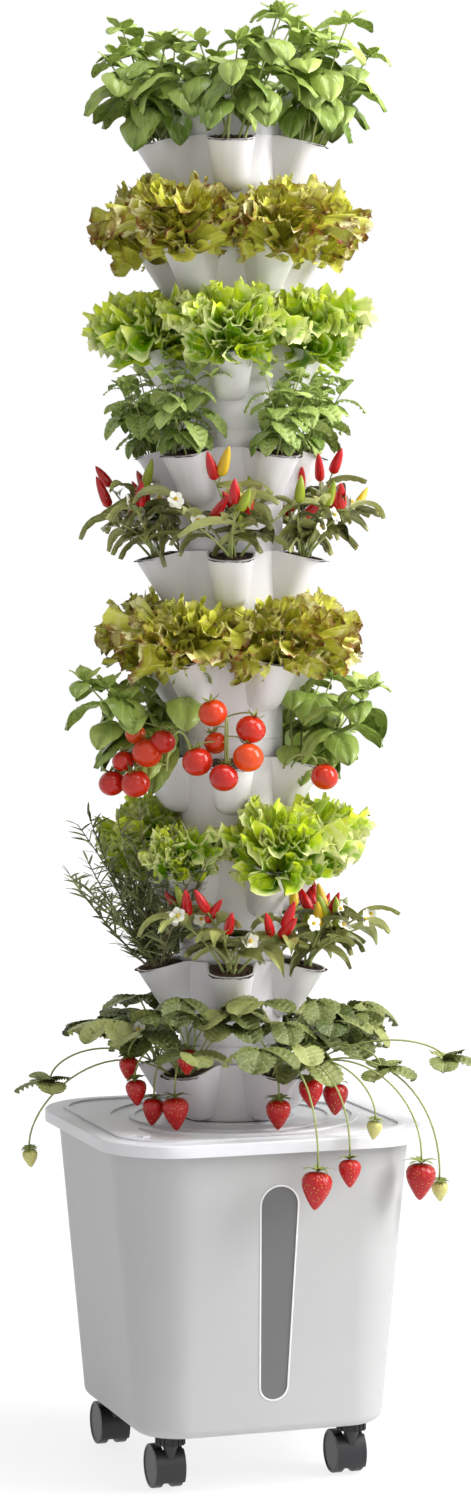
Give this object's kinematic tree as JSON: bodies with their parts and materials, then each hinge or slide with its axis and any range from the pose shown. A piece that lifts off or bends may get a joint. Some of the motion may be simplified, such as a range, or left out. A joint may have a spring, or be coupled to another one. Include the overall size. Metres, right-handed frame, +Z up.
{
  "type": "vertical planter tower",
  "caption": "Vertical planter tower: stacked pocket tiers full of herbs, lettuce and fruit, on a wheeled water reservoir with a lift-off lid and a level window.",
  "frame": {"origin": "on the floor, under the vertical axis that the tower and the reservoir share", "axes": "+Z up along the tower, -Y towards the side with the level window, -X towards the side with the refill cover"},
  "size_m": [0.4883, 0.4181, 1.6785],
  "materials": {
    "tank_plastic": "satin, lightly textured",
    "window_plastic": "smoky, see-through",
    "bezel_plastic": "satin",
    "lid_plastic": "satin",
    "tier_plastic": "satin",
    "caster_socket_plastic": "matt",
    "caster_hood_plastic": "satin",
    "caster_wheel_plastic": "satin",
    "axle_steel": "bright",
    "pump_plastic": "satin",
    "soft_rubber": "matt",
    "riser_plastic": "smooth",
    "growing_medium": "coarse and damp",
    "basil_leaf": "waxy",
    "mint_leaf": "matt, wrinkled",
    "green_lettuce_leaf": "thin, frilled",
    "red_lettuce_leaf": "thin, frilled",
    "pepper_leaf": "glossy",
    "tomato_leaf": "soft",
    "herb_leaf": "needle-like and glossy leaves",
    "strawberry_leaf": "toothed, matt"
  },
  "bodies": {
    "reservoir": {"reservoir_tank": "tank_plastic", "level_window": "window_plastic", "window_bezel": "bezel_plastic", "caster_sockets": "caster_socket_plastic", "pump_housing": "pump_plastic", "pump_intake_screen": "pump_plastic", "pump_suction_feet": "soft_rubber", "riser_pipe": "riser_plastic"},
    "lid": {"tank_lid": "lid_plastic", "base_gasket": "soft_rubber", "cable_grommet": "soft_rubber"},
    "hatch": {"refill_hatch": "lid_plastic"},
    "tier_01": {"planter_tier_01": "tier_plastic", "growing_medium_01": "growing_medium", "strawberry_plants": "strawberry_leaf"},
    "tier_02": {"planter_tier_02": "tier_plastic", "growing_medium_02": "growing_medium", "rosemary_and_chili_plants": "herb_leaf"},
    "tier_03": {"planter_tier_03": "tier_plastic", "growing_medium_03": "growing_medium", "green_lettuce_lower": "green_lettuce_leaf"},
    "tier_04": {"planter_tier_04": "tier_plastic", "growing_medium_04": "growing_medium", "tomato_and_basil_plants": "tomato_leaf"},
    "tier_05": {"planter_tier_05": "tier_plastic", "growing_medium_05": "growing_medium", "red_lettuce_lower": "red_lettuce_leaf"},
    "tier_06": {"planter_tier_06": "tier_plastic", "growing_medium_06": "growing_medium", "chili_plants": "pepper_leaf"},
    "tier_07": {"planter_tier_07": "tier_plastic", "growing_medium_07": "growing_medium", "mint_plants": "mint_leaf"},
    "tier_08": {"planter_tier_08": "tier_plastic", "growing_medium_08": "growing_medium", "green_lettuce_upper": "green_lettuce_leaf"},
    "tier_09": {"planter_tier_09": "tier_plastic", "growing_medium_09": "growing_medium", "red_lettuce_upper": "red_lettuce_leaf"},
    "tier_10": {"planter_tier_10": "tier_plastic", "growing_medium_10": "growing_medium", "basil_plants": "basil_leaf", "water_spreader": "tier_plastic"},
    "cap": {"top_cap": "tier_plastic"},
    "caster_front_left": {"caster_hood_front_left": "caster_hood_plastic", "caster_axle_front_left": "axle_steel"},
    "wheel_front_left_left": {"caster_wheel_front_left_left": "caster_wheel_plastic"},
    "wheel_front_left_right": {"caster_wheel_front_left_right": "caster_wheel_plastic"},
    "caster_front_right": {"caster_hood_front_right": "caster_hood_plastic", "caster_axle_front_right": "axle_steel"},
    "wheel_front_right_left": {"caster_wheel_front_right_left": "caster_wheel_plastic"},
    "wheel_front_right_right": {"caster_wheel_front_right_right": "caster_wheel_plastic"},
    "caster_rear_right": {"caster_hood_rear_right": "caster_hood_plastic", "caster_axle_rear_right": "axle_steel"},
    "wheel_rear_right_left": {"caster_wheel_rear_right_left": "caster_wheel_plastic"},
    "wheel_rear_right_right": {"caster_wheel_rear_right_right": "caster_wheel_plastic"},
    "caster_rear_left": {"caster_hood_rear_left": "caster_hood_plastic", "caster_axle_rear_left": "axle_steel"},
    "wheel_rear_left_left": {"caster_wheel_rear_left_left": "caster_wheel_plastic"},
    "wheel_rear_left_right": {"caster_wheel_rear_left_right": "caster_wheel_plastic"}
  },
  "joints": [
    {"name": "lid_lift", "type": "slide", "parent": "reservoir", "child": "lid", "axis": [0, 0, 1], "range_m": [0, 0.05]},
    {"name": "hatch_lift", "type": "slide", "parent": "lid", "child": "hatch", "axis": [0, 0, 1], "range_m": [0, 0.016]},
    {"name": "tier_01_lift", "type": "slide", "parent": "lid", "child": "tier_01", "axis": [0, 0, 1], "range_m": [0, 0.05]},
    {"name": "tier_02_lift", "type": "slide", "parent": "tier_01", "child": "tier_02", "axis": [0, 0, 1], "range_m": [0, 0.05]},
    {"name": "tier_03_lift", "type": "slide", "parent": "tier_02", "child": "tier_03", "axis": [0, 0, 1], "range_m": [0, 0.05]},
    {"name": "tier_04_lift", "type": "slide", "parent": "tier_03", "child": "tier_04", "axis": [0, 0, 1], "range_m": [0, 0.05]},
    {"name": "tier_05_lift", "type": "slide", "parent": "tier_04", "child": "tier_05", "axis": [0, 0, 1], "range_m": [0, 0.05]},
    {"name": "tier_06_lift", "type": "slide", "parent": "tier_05", "child": "tier_06", "axis": [0, 0, 1], "range_m": [0, 0.05]},
    {"name": "tier_07_lift", "type": "slide", "parent": "tier_06", "child": "tier_07", "axis": [0, 0, 1], "range_m": [0, 0.05]},
    {"name": "tier_08_lift", "type": "slide", "parent": "tier_07", "child": "tier_08", "axis": [0, 0, 1], "range_m": [0, 0.05]},
    {"name": "tier_09_lift", "type": "slide", "parent": "tier_08", "child": "tier_09", "axis": [0, 0, 1], "range_m": [0, 0.05]},
    {"name": "tier_10_lift", "type": "slide", "parent": "tier_09", "child": "tier_10", "axis": [0, 0, 1], "range_m": [0, 0.05]},
    {"name": "cap_lift", "type": "slide", "parent": "tier_10", "child": "cap", "axis": [0, 0, 1], "range_m": [0, 0.03]},
    {"name": "swivel_front_left", "type": "hinge", "parent": "reservoir", "child": "caster_front_left", "pos_m": [-0.108, -0.108, 0.058], "axis": [0, 0, 1], "continuous": true},
    {"name": "roll_front_left_left", "type": "hinge", "parent": "caster_front_left", "child": "wheel_front_left_left", "pos_m": [-0.108, -0.086, 0.025], "axis": [1, 0, 0], "continuous": true},
    {"name": "roll_front_left_right", "type": "hinge", "parent": "caster_front_left", "child": "wheel_front_left_right", "pos_m": [-0.108, -0.086, 0.025], "axis": [1, 0, 0], "continuous": true},
    {"name": "swivel_front_right", "type": "hinge", "parent": "reservoir", "child": "caster_front_right", "pos_m": [0.108, -0.108, 0.058], "axis": [0, 0, 1], "continuous": true},
    {"name": "roll_front_right_left", "type": "hinge", "parent": "caster_front_right", "child": "wheel_front_right_left", "pos_m": [0.108, -0.086, 0.025], "axis": [1, 0, 0], "continuous": true},
    {"name": "roll_front_right_right", "type": "hinge", "parent": "caster_front_right", "child": "wheel_front_right_right", "pos_m": [0.108, -0.086, 0.025], "axis": [1, 0, 0], "continuous": true},
    {"name": "swivel_rear_right", "type": "hinge", "parent": "reservoir", "child": "caster_rear_right", "pos_m": [0.108, 0.108, 0.058], "axis": [0, 0, 1], "continuous": true},
    {"name": "roll_rear_right_left", "type": "hinge", "parent": "caster_rear_right", "child": "wheel_rear_right_left", "pos_m": [0.108, 0.13, 0.025], "axis": [1, 0, 0], "continuous": true},
    {"name": "roll_rear_right_right", "type": "hinge", "parent": "caster_rear_right", "child": "wheel_rear_right_right", "pos_m": [0.108, 0.13, 0.025], "axis": [1, 0, 0], "continuous": true},
    {"name": "swivel_rear_left", "type": "hinge", "parent": "reservoir", "child": "caster_rear_left", "pos_m": [-0.108, 0.108, 0.058], "axis": [0, 0, 1], "continuous": true},
    {"name": "roll_rear_left_left", "type": "hinge", "parent": "caster_rear_left", "child": "wheel_rear_left_left", "pos_m": [-0.108, 0.13, 0.025], "axis": [1, 0, 0], "continuous": true},
    {"name": "roll_rear_left_right", "type": "hinge", "parent": "caster_rear_left", "child": "wheel_rear_left_right", "pos_m": [-0.108, 0.13, 0.025], "axis": [1, 0, 0], "continuous": true}
  ]
}
